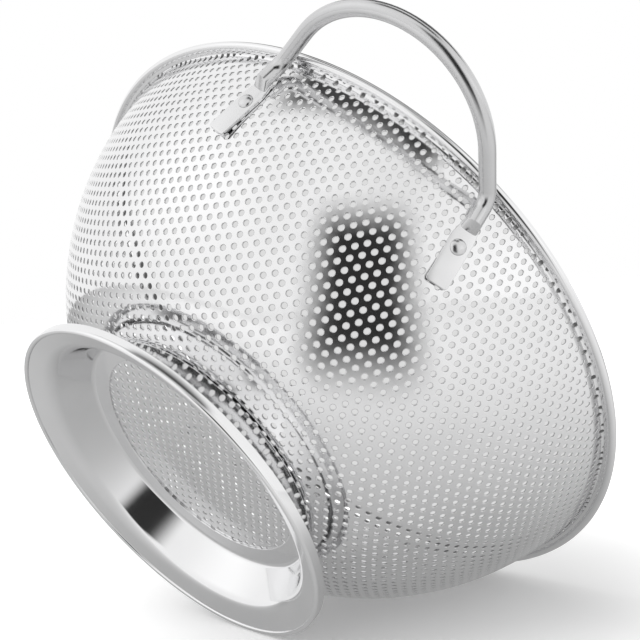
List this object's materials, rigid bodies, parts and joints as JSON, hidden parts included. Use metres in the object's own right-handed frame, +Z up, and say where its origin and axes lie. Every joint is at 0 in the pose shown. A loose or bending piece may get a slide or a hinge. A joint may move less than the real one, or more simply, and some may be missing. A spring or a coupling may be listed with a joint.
{
  "type": "footed colander",
  "caption": "Deep perforated steel colander with a rolled rim, a flared foot ring and riveted bow handles, for draining and rinsing food.",
  "frame": {"origin": "middle of the circle that the foot stands on", "axes": "+Z up out of the bowl's mouth, +X towards the right handle, handles along X"},
  "size_m": [0.365, 0.2862, 0.1162],
  "materials": {
    "bowl_sheet": "mirror-polished stainless steel sheet, finely perforated",
    "rim_strip": "mirror-polished stainless steel strip",
    "foot_sheet": "mirror-polished stainless steel sheet with faint spinning lines",
    "handle_rod": "satin-polished stainless steel rod",
    "rivet_steel": "polished stainless steel"
  },
  "bodies": {
    "root": {"bowl": "bowl_sheet", "rim_band": "rim_strip", "foot_ring": "foot_sheet", "handle_right": "handle_rod", "handle_left": "handle_rod", "rivet_right_back": "rivet_steel", "rivet_right_front": "rivet_steel", "rivet_left_back": "rivet_steel", "rivet_left_front": "rivet_steel"}
  },
  "joints": []
}
